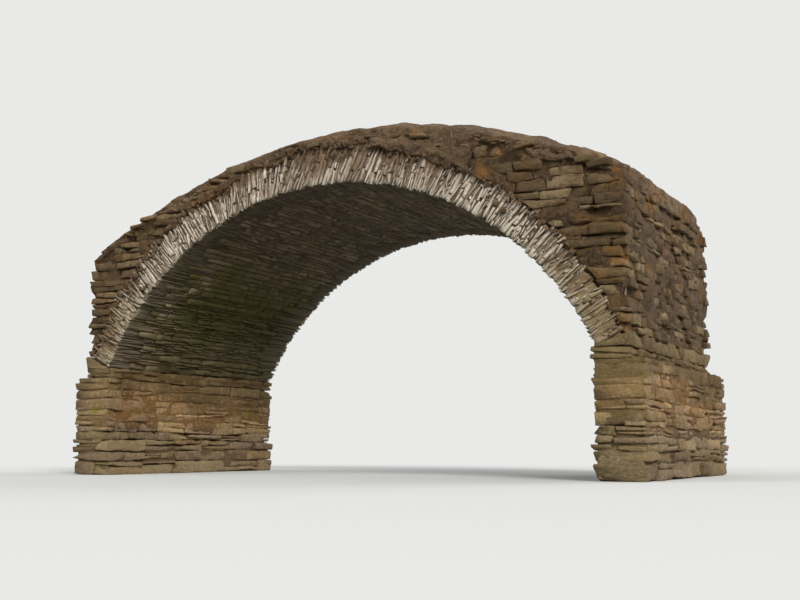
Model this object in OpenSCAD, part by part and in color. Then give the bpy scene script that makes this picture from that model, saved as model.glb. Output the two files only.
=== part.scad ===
// Ruined single-span stone arch bridge: a segmental rubble arch of thin slabs set on edge,
// on two low coursed abutments, with rubble haunches and an earth deck.
// X runs along the span, Y across the bridge from face to face, Z up from the foot of the abutments.

/* [Span and width] */
// Clear span between the faces of the two abutments
span = 5140; // [4800:20:5500]
// Rise of the soffit above the springing
rise = 1640; // [1500:20:1760]
// Width of the bridge over the faces of its arch ring
bridge_w = 3000; // [2700:20:3100]

/* [Abutments] */
// Height of the springing above the foot of the abutments
springing_h = 1100; // [1000:10:1300]
// Thickness of an abutment along the span
abutment_t = 480; // [440:10:560]
// Ledge left at the springing, inside the soffit, that once carried the centring
ledge = 30; // [15:5:60]
// Height of the footing, made of the largest slabs
footing_h = 360; // [280:10:420]
// Number of courses in the footing
footing_courses = 3; // [2:1:4]
// Number of courses in an abutment above its footing
abutment_courses = 6; // [5:1:8]
// How far the footing stands proud of the abutment all round
footing_step = 20; // [10:5:40]
// Depth to which a course may be set back or worn behind the face line
course_wear = 22; // [10:2:30]

/* [Springers] */
// Height of the springer block below the springing
springer_h = 110; // [90:5:140]
// Shelf behind the arch ring that carries the end of the haunch
shelf_w = 60; // [50:5:90]

/* [Arch ring] */
// Depth of the ring at the springing
ring_foot_depth = 285; // [240:5:330]
// Depth of the ring at the crown
ring_crown_depth = 435; // [400:5:460]
// Thickness of one slab along the soffit
slab_t = 62; // [50:2:90]
// How unevenly thick the slabs are
thickness_ragged = 14; // [0:1:18]
// Open joint between two slabs of the faces
slab_joint = 7; // [4:1:12]
// Length of a face slab into the bridge
face_slab_l = 400; // [300:20:600]
// How unevenly the slabs end at the back of the ring
back_ragged = 24; // [0:2:28]
// How unevenly the slabs end at the soffit
soffit_ragged = 14; // [0:2:20]
// How unevenly the face slabs end at the face
face_ragged = 26; // [0:2:40]

/* [Haunches] */
// Mean distance of the broken end of a haunch behind the springing line
haunch_end = 290; // [280:2:310]
// How far the courses of the broken end stand in and out
end_ragged = 38; // [10:2:44]
// Height of one course at the broken end
haunch_course = 96; // [80:2:140]
// Setback of the haunch walls behind the face of the ring
haunch_inset = 42; // [20:2:70]

/* [Earth deck] */
// Earth over the crown of the ring
earth_t = 130; // [120:5:170]
// Fall of the deck from the crown to an end
deck_fall = 805; // [740:5:860]
// How much the right end stands above, and the left end below, an even fall
deck_tilt = 165; // [0:5:180]
// Setback of the earth behind the face of the ring
earth_inset = 55; // [40:5:90]
// Width of the worn shoulder along each edge of the deck
shoulder_w = 230; // [150:10:350]
// Drop of the deck at its edge, below the shoulder
shoulder_drop = 60; // [30:5:70]
// Unevenness of the top of the deck
deck_ragged = 16; // [0:2:20]

/* [Hidden] */
arch_a = span / 2 + ledge;
half_angle = 2 * atan(rise / arch_a);
soffit_r = arch_a / sin(half_angle);
centre_z = springing_h + rise - soffit_r;
zones = 7;
crown_zone = 3;
zone_slabs = round(2 * half_angle * PI / 180 * soffit_r / zones / slab_t);
slabs = zones * zone_slabs;
slab_angle = 2 * half_angle / slabs;

half_w = bridge_w / 2;
core_half_w = half_w - face_slab_l;
abutment_in = span / 2;
shelf_z = springing_h + ring_foot_depth * cos(half_angle);
shelf_in = arch_a + ring_foot_depth * sin(half_angle);
haunch_out = arch_a + haunch_end;
deck_crown = springing_h + rise + ring_crown_depth + earth_t;
// The haunches start where the shoulders of the arch end
haunch_angle = half_angle * (zones - 4) / zones;
haunch_in = (soffit_r + ring_crown_depth) * sin(haunch_angle);
earth_stations = 12;
crown_stations = 18;
most_courses = 14;
bed = 2;
most_end_courses = 24;

stone_grey = [0.52, 0.47, 0.40];
stone_brown = [0.46, 0.37, 0.26];
stone_dark = [0.24, 0.21, 0.15];
earth_brown = [0.38, 0.31, 0.18];

// Unevenness of the slabs, one value for each, from a fixed seed
joint_noise = rands(-1, 1, slabs, 5);
back_noise = rands(-1, 1, slabs, 11);
soffit_noise = rands(0, 1, slabs, 23);
face_noise = rands(0, 1, 2 * slabs, 37);
course_noise = rands(0, 1, 8 * most_courses, 41);
end_noise = rands(-1, 1, 2 * most_end_courses, 53);
deck_noise = rands(-1, 1, 600, 67);

// Angle of the joint below slab i, from the crown, positive to the right. Zones meet at even joints.
function joint_angle(i) = -half_angle + i * slab_angle
    + (i % zone_slabs == 0 ? 0 : joint_noise[i] * thickness_ragged / soffit_r * 180 / PI);
function polar(r, angle) = [r * sin(angle), centre_z + r * cos(angle)];
function mean_depth(angle) =
    ring_foot_depth + (ring_crown_depth - ring_foot_depth) * (1 - abs(angle) / half_angle);
// The first and last slabs keep the plain depth, so that they fill their skewbacks
function back_r(i) = soffit_r + mean_depth(joint_angle(i + 0.5))
    + (i == 0 || i == slabs - 1 ? 0 : back_ragged * back_noise[i]);
function front_r(i) = soffit_r + soffit_ragged * soffit_noise[i];

// Corners of slab i in the XZ plane: soffit side first, then the back
function slab_cell(i) = [
    polar(front_r(i), joint_angle(i)), polar(front_r(i), joint_angle(i + 1)),
    polar(back_r(i), joint_angle(i + 1)), polar(back_r(i), joint_angle(i))
];
function toward(p, q, d) = p + (q - p) * d / norm(q - p);
function slab_outline(c) = [
    toward(c[0], c[1], slab_joint / 2), toward(c[1], c[0], slab_joint / 2),
    toward(c[2], c[3], slab_joint / 2), toward(c[3], c[2], slab_joint / 2)
];

// Height of the deck and of the fill below its earth, at x
function deck_z(x) = deck_crown - deck_fall * pow(x / haunch_out, 2) + deck_tilt * x / haunch_out;
function fill_z(x) = deck_z(x) - earth_t;

// Draws an XZ outline over a stretch of Y
module across(y0, y1) {
    translate([0, y1, 0]) rotate([90, 0, 0]) linear_extrude(y1 - y0) children();
}

// side is -1 for the left of the bridge and 1 for the right
module on_side(side) {
    if (side < 0) mirror([1, 0, 0]) children();
    else children();
}

// One course of an abutment: grow sets it proud of the lines, and wear sets each of its four faces back.
// Every course but the lowest is bedded a little into the one below, so that they are one mass.
module course(row, k, z, h, grow, wear) {
    out = [for (j = [0 : 3]) grow - wear * course_noise[4 * (row + k) + j]];
    lap = k == 0 ? 0 : bed;
    translate([abutment_in - out[0], -half_w - out[1], z + k * h - lap])
        cube([abutment_t + out[0] + out[2], bridge_w + out[1] + out[3], h + lap]);
}

// The lowest course keeps the full lines of the footing
module footing(side) {
    h = footing_h / footing_courses;
    row = side < 0 ? 0 : most_courses;
    color(stone_grey) on_side(side) for (k = [0 : footing_courses - 1])
        course(row, k, 0, h, footing_step, k == 0 ? 0 : course_wear);
}

module abutment(side) {
    h = (springing_h - springer_h - footing_h) / abutment_courses;
    row = (side < 0 ? 0 : most_courses) + footing_courses;
    color(stone_brown) on_side(side) for (k = [0 : abutment_courses - 1])
        course(row, k, footing_h, h, 0, course_wear);
}

// Block with the ledge, the skewback that the arch springs from, and the shelf behind it
module springer(side) {
    color(stone_brown) on_side(side) across(-half_w, half_w) polygon([
        [abutment_in, springing_h - springer_h], [abutment_in, springing_h], [arch_a, springing_h],
        [shelf_in, shelf_z], [shelf_in + shelf_w, shelf_z], [shelf_in + shelf_w, springing_h - springer_h]
    ]);
}

// Barrel of the arch between its face slabs, one zone at a time: each course of slabs makes a step
module vault(zone) {
    first = zone * zone_slabs;
    last = first + zone_slabs - 1;
    color(stone_dark) across(-core_half_w, core_half_w) polygon(concat(
        [for (i = [first : last]) for (c = [0, 1]) slab_cell(i)[c]],
        [for (i = [last : -1 : first]) for (c = [2, 3]) slab_cell(i)[c]]
    ));
}

// Face slabs of one zone, each a thin wedge of its own; face is -1 for the front and 1 for the back
module ring(zone, face) {
    color(stone_grey)
        for (i = [zone * zone_slabs : (zone + 1) * zone_slabs - 1]) {
            reach = half_w - face_ragged * face_noise[2 * i + (face > 0 ? 1 : 0)];
            across(face < 0 ? -reach : core_half_w, face < 0 ? -core_half_w : reach)
                polygon(slab_outline(slab_cell(i)));
        }
}

// Everything below the back of the arch
module arch_below() {
    polygon(concat(
        [[-shelf_in, 0]],
        [for (i = [0 : slabs - 1]) for (c = [3, 2]) slab_cell(i)[c]],
        [[shelf_in, 0]]
    ));
}

// Distance from the crown of cross-section s along a haunch
function station_x(s) = haunch_in + (haunch_out - haunch_in) * s / earth_stations;

// Outline of a haunch: the arch below it, the fill line above and a broken, coursed end.
// The lowest course of the end stands on the shelf of the springer.
module haunch_outline(side) {
    end_h = fill_z(side * haunch_out) - shelf_z;
    steps = ceil(end_h / haunch_course);
    row = side < 0 ? 0 : most_end_courses;
    difference() {
        polygon(concat(
            [for (k = [0 : steps - 1]) let (x = haunch_out + (k == 0 ? 0 : end_ragged * end_noise[row + k]))
                for (e = [0, 1]) [side * x, shelf_z + (k + e) * end_h / steps]],
            [for (s = [earth_stations : -1 : 0]) [side * station_x(s), fill_z(side * station_x(s))]],
            [[side * haunch_in, shelf_z]]
        ));
        arch_below();
    }
}

module haunch_wall(side, face) {
    y = half_w - haunch_inset;
    color(stone_dark)
        across(face < 0 ? -y : core_half_w, face < 0 ? -core_half_w : y) haunch_outline(side);
}

module haunch_core(side) {
    color(earth_brown) across(-core_half_w, core_half_w) haunch_outline(side);
}

// Unevenness of the deck at x on line j, the same for both pieces of earth that meet there
function deck_dip(x, j) = deck_ragged * (1 + deck_noise[7 * round((x + haunch_out) / haunch_out * 40) + j]);

// Skin of earth lofted along the deck through sections at xs; unders gives its lower line
module earth_loft(xs, unders) {
    edge = half_w - earth_inset;
    ys = [-edge, -edge, -edge + shoulder_w, 0, edge - shoulder_w, edge, edge];
    drops = [0, shoulder_drop, 0, -shoulder_drop / 3, 0, shoulder_drop, 0];
    m = len(ys);
    points = [for (s = [0 : len(xs) - 1]) for (j = [0 : m - 1]) [xs[s], ys[j],
        j == 0 || j == m - 1 ? unders[s] : deck_z(xs[s]) - drops[j] - deck_dip(xs[s], j)]];
    side_faces = [for (s = [0 : len(xs) - 2]) for (j = [0 : m - 1]) let (k = (j + 1) % m)
        for (f = [[s * m + j, s * m + k, (s + 1) * m + k], [s * m + j, (s + 1) * m + k, (s + 1) * m + j]]) f];
    polyhedron(points, concat(
        side_faces,
        [[for (j = [m - 1 : -1 : 0]) j], [for (j = [0 : m - 1]) (len(xs) - 1) * m + j]]
    ));
}

module earth_end(side) {
    xs = [for (s = [0 : earth_stations]) side * station_x(side > 0 ? s : earth_stations - s)];
    color(earth_brown) earth_loft(xs, [for (x = xs) fill_z(x)]);
}

module earth_crown() {
    xs = [for (s = [0 : crown_stations]) haunch_in * (2 * s / crown_stations - 1)];
    color(earth_brown) difference() {
        earth_loft(xs, [for (x = xs) centre_z + soffit_r * cos(haunch_angle)]);
        across(-bridge_w, bridge_w) arch_below();
    }
}

footing(-1);  // left_footing
footing(1);  // right_footing
abutment(-1);  // left_abutment
abutment(1);  // right_abutment
springer(-1);  // left_springer
springer(1);  // right_springer
vault(0);  // vault_left_foot
vault(1);  // vault_left_haunch
vault(2);  // vault_left_shoulder
vault(crown_zone);  // vault_crown
vault(4);  // vault_right_shoulder
vault(5);  // vault_right_haunch
vault(6);  // vault_right_foot
ring(0, -1);  // front_ring_left_foot
ring(1, -1);  // front_ring_left_haunch
ring(2, -1);  // front_ring_left_shoulder
ring(crown_zone, -1);  // front_ring_crown
ring(4, -1);  // front_ring_right_shoulder
ring(5, -1);  // front_ring_right_haunch
ring(6, -1);  // front_ring_right_foot
ring(0, 1);  // back_ring_left_foot
ring(1, 1);  // back_ring_left_haunch
ring(2, 1);  // back_ring_left_shoulder
ring(crown_zone, 1);  // back_ring_crown
ring(4, 1);  // back_ring_right_shoulder
ring(5, 1);  // back_ring_right_haunch
ring(6, 1);  // back_ring_right_foot
haunch_wall(-1, -1);  // front_left_haunch_wall
haunch_wall(1, -1);  // front_right_haunch_wall
haunch_wall(-1, 1);  // back_left_haunch_wall
haunch_wall(1, 1);  // back_right_haunch_wall
haunch_core(-1);  // left_haunch_fill
haunch_core(1);  // right_haunch_fill
earth_end(-1);  // left_deck_earth
earth_crown();  // crown_deck_earth
earth_end(1);  // right_deck_earth
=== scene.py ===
import math
import random

import bmesh
import bpy
import numpy as np
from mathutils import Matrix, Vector, noise


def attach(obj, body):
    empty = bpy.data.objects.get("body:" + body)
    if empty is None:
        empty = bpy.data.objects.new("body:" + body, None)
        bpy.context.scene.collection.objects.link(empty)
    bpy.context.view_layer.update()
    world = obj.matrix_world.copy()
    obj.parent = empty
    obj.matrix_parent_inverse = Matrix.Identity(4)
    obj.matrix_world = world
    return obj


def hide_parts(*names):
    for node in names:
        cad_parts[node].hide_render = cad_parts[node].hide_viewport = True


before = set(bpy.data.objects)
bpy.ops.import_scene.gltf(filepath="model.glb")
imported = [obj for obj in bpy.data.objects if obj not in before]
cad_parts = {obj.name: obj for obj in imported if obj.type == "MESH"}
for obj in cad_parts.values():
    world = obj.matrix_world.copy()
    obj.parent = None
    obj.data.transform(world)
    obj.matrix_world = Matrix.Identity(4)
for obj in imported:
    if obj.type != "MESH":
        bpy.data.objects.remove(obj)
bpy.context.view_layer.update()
noise.seed_set(11)      # noise_vector starts from the clock without it

# The bridge's own lines, in metres, as the solids have them
bridge = {
    "halfSpan": 2.60,       # from the crown to the springing of the soffit
    "rise": 1.64,
    "springing": 1.10,
    "halfWidth": 1.50,
    "footDepth": 0.285,     # depth of the ring at the springing and at the crown
    "crownDepth": 0.435,
    "abutmentIn": 2.57,
    "abutmentOut": 3.05,
    "footing": 0.36,
    "springerHeight": 0.11,
    "shelf": 0.06,
    "haunchIn": 1.54,       # where the rubble over the haunches starts and ends
    "haunchOut": 2.89,
    "haunchFace": 1.458,
    "earth": 0.13,
    "earthEdge": 1.445,
    "fall": 0.805,
    "tilt": 0.165,
}
halfAngle = 2 * math.atan(bridge["rise"] / bridge["halfSpan"])
soffitRadius = bridge["halfSpan"] / math.sin(halfAngle)
centreHeight = bridge["springing"] + bridge["rise"] - soffitRadius
shelfHeight = bridge["springing"] + bridge["footDepth"] * math.cos(halfAngle)
shelfEdge = bridge["halfSpan"] + bridge["footDepth"] * math.sin(halfAngle) + bridge["shelf"]
zoneNames = ["left_foot", "left_haunch", "left_shoulder", "crown",
             "right_shoulder", "right_haunch", "right_foot"]
bothSides = ((-1, "left"), (1, "right"))


def ringDepth(angle):
    along = max(0.0, 1 - abs(angle) / halfAngle)
    return bridge["footDepth"] + (bridge["crownDepth"] - bridge["footDepth"]) * along


def onArch(radius, angle, y=0.0):
    return Vector((radius * math.sin(angle), y, centreHeight + radius * math.cos(angle)))


def ringTop(x):
    # height of the back of the ring over x
    z = 2.0
    for _ in range(5):
        radius = soffitRadius + ringDepth(math.atan2(x, z - centreHeight))
        z = centreHeight + math.sqrt(max(radius ** 2 - x ** 2, 0.01))
    return z


def ringBack(z):
    # how far out the back of the ring is at height z
    x = 1.0
    for _ in range(6):
        radius = soffitRadius + ringDepth(math.atan2(x, z - centreHeight))
        x = math.sqrt(max(radius ** 2 - (z - centreHeight) ** 2, 0))
    return x


def deckHeight(x):
    crown = bridge["springing"] + bridge["rise"] + bridge["crownDepth"] + bridge["earth"]
    along = x / bridge["haunchOut"]
    return crown - bridge["fall"] * along ** 2 + bridge["tilt"] * along


def fillHeight(x):
    return deckHeight(x) - bridge["earth"]


def ease(value, low, high):
    along = max(0.0, min(1.0, (value - low) / (high - low)))
    return along * along * (3 - 2 * along)


def waver(*spot):
    return noise.noise(Vector(spot))


def addMesh(bm, name, material):
    mesh = bpy.data.meshes.new(name)
    bm.to_mesh(mesh)
    bm.free()
    mesh.materials.append(material)
    made = bpy.data.objects.new(name, mesh)
    bpy.context.collection.objects.link(made)
    return made


def finishPiece(bm, name, material, replaced=()):
    bmesh.ops.recalc_face_normals(bm, faces=bm.faces)
    for face in bm.faces:
        face.smooth = True
    piece = addMesh(bm, name, material)
    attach(piece, "root")
    if replaced:
        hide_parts(*replaced)
    print("piece", name, len(piece.data.polygons), "faces")


# Every stone starts as a cut cube, stretched between eight corners, its arrises worn and its faces
# split in layers
wear = {
    "thinnest": 0.004,      # least side of a stone
    "lost": (0.1, 0.32),        # how far a broken corner goes towards the middle
    "arris": 0.3, "corner": 0.5, "most": 0.3,       # how far arrises and corners draw in, by the wear
    "splitDepth": 0.03,     # how far behind a face its layers part
    "knobRate": 3.3, "knobShare": 0.45,     # smaller lumps on the rough ones
    "chipRate": 36, "chipShare": 0.12,
}
stoneLayers = ("tone", "tint", "soil", "arris")
cutCubes = {}
scratch = bpy.data.meshes.new("scratch")


def newBed():
    bm = bmesh.new()
    for layer in stoneLayers:
        bm.verts.layers.float.new(layer)
    bm.verts.layers.float_vector.new("grain")
    return bm


def cutCube(cuts):
    if cuts not in cutCubes:
        bm = newBed()
        bmesh.ops.create_cube(bm, size=2)
        for axis, count in enumerate(cuts):
            along = [e for e in bm.edges if abs((e.verts[0].co - e.verts[1].co)[axis]) > 1.9]
            bmesh.ops.subdivide_edges(bm, edges=along, cuts=count - 1, use_grid_fill=True)
        places = np.array([v.co for v in bm.verts])
        cutCubes[cuts] = (bm, ((places + 1) / 2 * cuts).round().astype(int))
    return cutCubes[cuts]


def spacing(steps, count, length, worn):
    # the second row of points lies just inside the arris
    if count < 3:
        return steps / count
    edge = min(worn / length, 0.45 / (count - 1))
    inner = edge + (1 - 2 * edge) * (steps - 1) / (count - 2)
    return np.where(steps == 0, 0.0, np.where(steps == count, 1.0, inner))


def layStone(bed, corners, look, rng, shown=()):
    # corners[s][t][w], s across the layers of the rock, and shown holds (axis, end) of each face that
    # sees daylight
    c = np.array(corners, dtype=float).reshape(2, 2, 2, 3)
    c = c + np.array([rng.uniform(-1, 1) for _ in range(24)]).reshape(2, 2, 2, 3) * look["shake"]
    if shown and rng.random() < look["broken"]:
        axis, end = shown[rng.randrange(len(shown))]
        pick = [rng.randrange(2) for _ in range(3)]
        pick[axis] = end
        c[tuple(pick)] += (c.mean((0, 1, 2)) - c[tuple(pick)]) * rng.uniform(*wear["lost"])
    middles = [[c.take(end, a).mean((0, 1)) for end in (0, 1)] for a in range(3)]
    lengths = [max(float(np.linalg.norm(far - near)), wear["thinnest"]) for near, far in middles]
    cuts = tuple(max(least, min(most, round(length / cell)))
                 for length, (cell, least, most) in zip(lengths, look["cells"]))
    base, steps = cutCube(cuts)
    stw = np.stack([spacing(steps[:, a], cuts[a], lengths[a], look["worn"]) for a in range(3)], 1)
    ends = (steps == 0) * 1.0 - (steps == cuts)     # 1 and -1 at the two ends of each axis
    outer = ends != 0
    edges = outer.sum(1)
    drawn = np.array([0, 0, wear["arris"], wear["corner"]])[edges] * look["worn"]
    stw += ends * np.minimum(drawn[:, None] / lengths, wear["most"])
    spots = np.broadcast_to(c, (len(stw), 2, 2, 2, 3))
    for a in range(3):
        share = stw[:, a].reshape(-1, *[1] * (3 - a))
        spots = spots[:, 0] * (1 - share) + spots[:, 1] * share
    local = stw * lengths
    hidden, arris, inward = np.ones(len(local)), np.zeros(len(local)), np.zeros((len(local), 3))
    for axis, end in shown:
        away = local[:, axis] if end == 0 else lengths[axis] - local[:, axis]
        hidden = np.minimum(hidden, away)
        near = np.clip(1 - away / wear["splitDepth"], 0, 1)
        toCentre = middles[axis][1 - end] - middles[axis][end]
        inward += near[:, None] * toCentre / np.linalg.norm(toCentre)
        arris = np.maximum(arris, (outer[:, axis] & (edges > 1) & (near > 0.5)).astype(float))
    # 0 on a shown face to 1 deep behind it: the mask for soil in the joints, which is also painted shade
    soil = np.clip(hidden / look["soilShadeDepth"], 0, 1)
    tone, tint = rng.random(), rng.random()
    offset = Vector([rng.uniform(-50, 50) for _ in range(3)])
    stone = base.copy()
    toneLayer, tintLayer, soilShadeLayer, arrisLayer = (stone.verts.layers.float[n] for n in stoneLayers)
    grainLayer = stone.verts.layers.float_vector["grain"]
    rough, size, ledge, (rate, run) = look["rough"], look["roughSize"], look["ledge"], look["ledgeRate"]
    knobRate, knobShare = wear["knobRate"], wear["knobShare"]
    rows = zip(stone.verts, spots.tolist(), local.tolist(), soil.tolist(), arris.tolist(), inward.tolist())
    for vert, spot, own, deep, rim, turn in rows:
        spot = Vector(spot)
        wave = noise.noise_vector((spot + offset) / size) * rough
        knobs = noise.noise_vector((spot + offset) * knobRate / size) * rough * knobShare
        layers = Vector((own[0] * rate, own[1] * run, own[2] * run))
        split = ledge * (0.5 + 0.5 * noise.noise(layers + offset))
        if rim:
            chips = noise.noise(Vector(own) * wear["chipRate"] + offset)
            split += look["chip"] * max(0.0, chips + wear["chipShare"])
        vert.co = spot + wave + knobs + Vector(turn) * split
        vert[toneLayer], vert[tintLayer], vert[soilShadeLayer], vert[arrisLayer] = tone, tint, deep, rim
        vert[grainLayer] = Vector(own) + offset
    stone.to_mesh(scratch)
    stone.free()
    bed.from_mesh(scratch)


def earthy(look):
    # how the earth between the stones of a piece looks
    return dict(look, cells=look["earthCells"], worn=look["earthWorn"], rough=look["earthRough"],
                roughSize=look["earthSize"], shake=0.0, ledge=0.0, chip=0.0)


def stretches(start, end, lengths, rng):
    # the way from start to end in stretches of uneven length
    marks = [start]
    while end - marks[-1] > lengths[1]:
        marks.append(marks[-1] + rng.uniform(*lengths))
    if end - marks[-1] < lengths[0] * 0.7 and len(marks) > 1:
        marks.pop()
    return list(zip(marks, marks[1:] + [end]))


# Shader maths: a wire is a socket that adds its own nodes when it is used in an expression
class Wire:
    def __init__(self, board, socket):
        self.board = board
        self.socket = socket

    def __add__(self, other):
        return self.board.maths("ADD", self, other)

    def __sub__(self, other):
        return self.board.maths("SUBTRACT", self, other)

    def __rsub__(self, other):
        return self.board.maths("SUBTRACT", other, self)

    def __mul__(self, other):
        return self.board.maths("MULTIPLY", self, other)

    __radd__ = __add__
    __rmul__ = __mul__

    def __abs__(self):
        return self.board.maths("ABSOLUTE", self, 0)

    def step(self, low, high):
        # 0 below low and 1 above high, smooth between
        return self.board.node("MapRange", {"interpolation_type": "SMOOTHSTEP"},
                               {"Value": self, "From Min": low, "From Max": high})

    def band(self, low, high, soft):
        # 1 between low and high
        return self.step(low - soft, low + soft) * (1 - self.step(high - soft, high + soft))


def colour(r, g, b):
    # a screen colour, 0 to 255
    shares = (v / 255 for v in (r, g, b))
    return tuple(v / 12.92 if v <= 0.04045 else ((v + 0.055) / 1.055) ** 2.4 for v in shares) + (1,)


class Board:
    # the nodes of one material or sky: look is its palette and body its colour so far
    def __init__(self, owner, look=None):
        self.owner, self.look, self.body = owner, look, None
        owner.use_nodes = True
        self.tree = owner.node_tree
        self.tree.nodes.clear()
        self.place = self.node("TexCoord", {}, {}, 3)

    def node(self, kind, settings, inputs, output=0):
        made = self.tree.nodes.new("ShaderNode" + kind)
        for key, value in settings.items():
            setattr(made, key, value)
        for key, value in inputs.items():
            if isinstance(value, Wire):
                self.tree.links.new(value.socket, made.inputs[key])
            else:
                made.inputs[key].default_value = value
        return Wire(self, made.outputs[output]) if made.outputs else None

    def maths(self, operation, first, second):
        return self.node("Math", {"operation": operation}, {0: first, 1: second})

    def blend(self, low, high, factor, kind="MIX"):
        # a name is a colour of the palette. Mix has a socket of each data type under one name, so its
        # colours go by number
        low, high = (colour(*self.look[c]) if isinstance(c, str) else c for c in (low, high))
        return self.node("Mix", {"data_type": "RGBA", "blend_type": kind}, {0: factor, 6: low, 7: high}, 2)

    def coat(self, paint, factor, kind="MIX"):
        self.body = self.blend(self.body, paint, factor, kind)

    def attribute(self, name, output=2):
        return self.node("Attribute", {"attribute_name": name}, {}, output)

    def axis(self, number, vector=None):
        return self.node("SeparateXYZ", {}, {"Vector": vector or self.place}, number)

    def overSoffit(self):
        # distance outwards from the soffit's curve
        flat = self.node("VectorMath", {"operation": "MULTIPLY_ADD"},
                         {0: self.place, 1: (1, 0, 1), 2: (0, 0, -centreHeight)})
        return self.node("VectorMath", {"operation": "LENGTH"}, {0: flat}, 1) - soffitRadius

    def unrolled(self, over, lean):
        # along the soffit's curve, outwards from it, and across the bridge; lean slants what is drawn on it
        turned = self.maths("ARCTAN2", self.axis(0), self.axis(2) - centreHeight)
        return self.node("CombineXYZ", {}, {0: turned * soffitRadius + over * lean, 1: over, 2: self.axis(1)})

    def stretched(self, vector, scale):
        return self.node("Mapping", {}, {"Vector": vector, "Scale": scale})

    def cloud(self, scale, detail=4.0, roughness=0.6, vector=None):
        return self.node("TexNoise", {}, {"Vector": vector or self.place, "Scale": scale, "Detail": detail,
                                          "Roughness": roughness})

    def finish(self, roughness, height, distance):
        bump = self.node("Bump", {}, {"Strength": 0.85, "Distance": distance, "Height": height})
        shader = self.node("BsdfPrincipled", {}, {"Base Color": self.body, "Roughness": roughness,
                                                  "Normal": bump, "Specular IOR Level": 0.25})
        self.node("OutputMaterial", {}, {"Surface": shader})
        return self.owner


def stoneBoard(name, look):
    # layered rock: its two colours, darker and paler sheets, a painted highlight on its arrises, how much
    # each stone differs, and soil in its joints, which is partly painted shade
    board = Board(bpy.data.materials.new(name), look)
    grain, tone = board.attribute("grain", 1), board.attribute("tone")
    patches = board.cloud(look["patchScale"], 3)
    mottle = board.cloud(19, 6, 0.75, grain)
    sheets = board.cloud(1, 5, 0.7, board.stretched(grain, (80, 11, 11)))
    threads = board.cloud(1, 3, 0.65, board.stretched(grain, (240, 40, 40)))
    speck = board.cloud(120, 4, 0.75, grain)
    pits = board.cloud(62, 2, 0.5, grain).step(0.6, 0.72)
    warp = board.node("TexNoise", {}, {"Vector": grain, "Scale": 24, "Detail": 4}, 1)
    bent = board.node("VectorMath", {"operation": "MULTIPLY_ADD"}, {0: warp, 1: (0.05, 0.05, 0.05), 2: grain})
    chips = board.node("TexVoronoi", {}, {"Vector": board.stretched(bent, (2.2, 1, 1)), "Scale": 24}, 1)
    flakes = board.axis(0, chips)       # each flake has a height of its own
    brown = (board.attribute("tint") * 0.7 + patches * 2.1 - 0.95).step(0.15, 0.75)
    board.body = board.blend("grey", "brown", brown)
    dark = (mottle + flakes * 0.2 + sheets * 0.4 - tone * 0.25).step(0.62, 0.98)
    board.coat("dark", dark * look["darkShare"])
    pale = ((1 - mottle) * 0.6 + sheets * 0.2 + (1 - flakes) * 0.15 + tone * 0.45).step(0.66, 1.0)
    board.coat("pale", pale * look["paleShare"])
    board.coat("dark", threads.step(0.54, 0.72) * 0.25)
    board.coat("dark", pits * 0.3)
    board.coat("pale", (1 - speck).step(0.58, 0.72) * 0.3)
    board.coat(board.blend(*((v, v, v, 1) for v in look["shade"]), tone), 1.0, "MULTIPLY")
    # painted highlight: the arrises of shown faces are painted paler
    board.coat("pale", board.attribute("arris") * mottle.step(0.4, 0.58) * 0.35)
    # soil in the joints, partly real soil and partly painted shade: the colour turns to joint and soil the
    # deeper a point lies behind a shown face
    soil = board.blend("joint", "soil", board.cloud(38, 4, 0.7).step(0.42, 0.66))
    board.coat(soil, board.attribute("soil").step(0.2, 0.95))
    height = flakes * 0.45 + sheets * 0.6 + mottle + threads * 0.2 + speck * 0.35 - pits * 0.25
    return board, mottle, height


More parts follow.
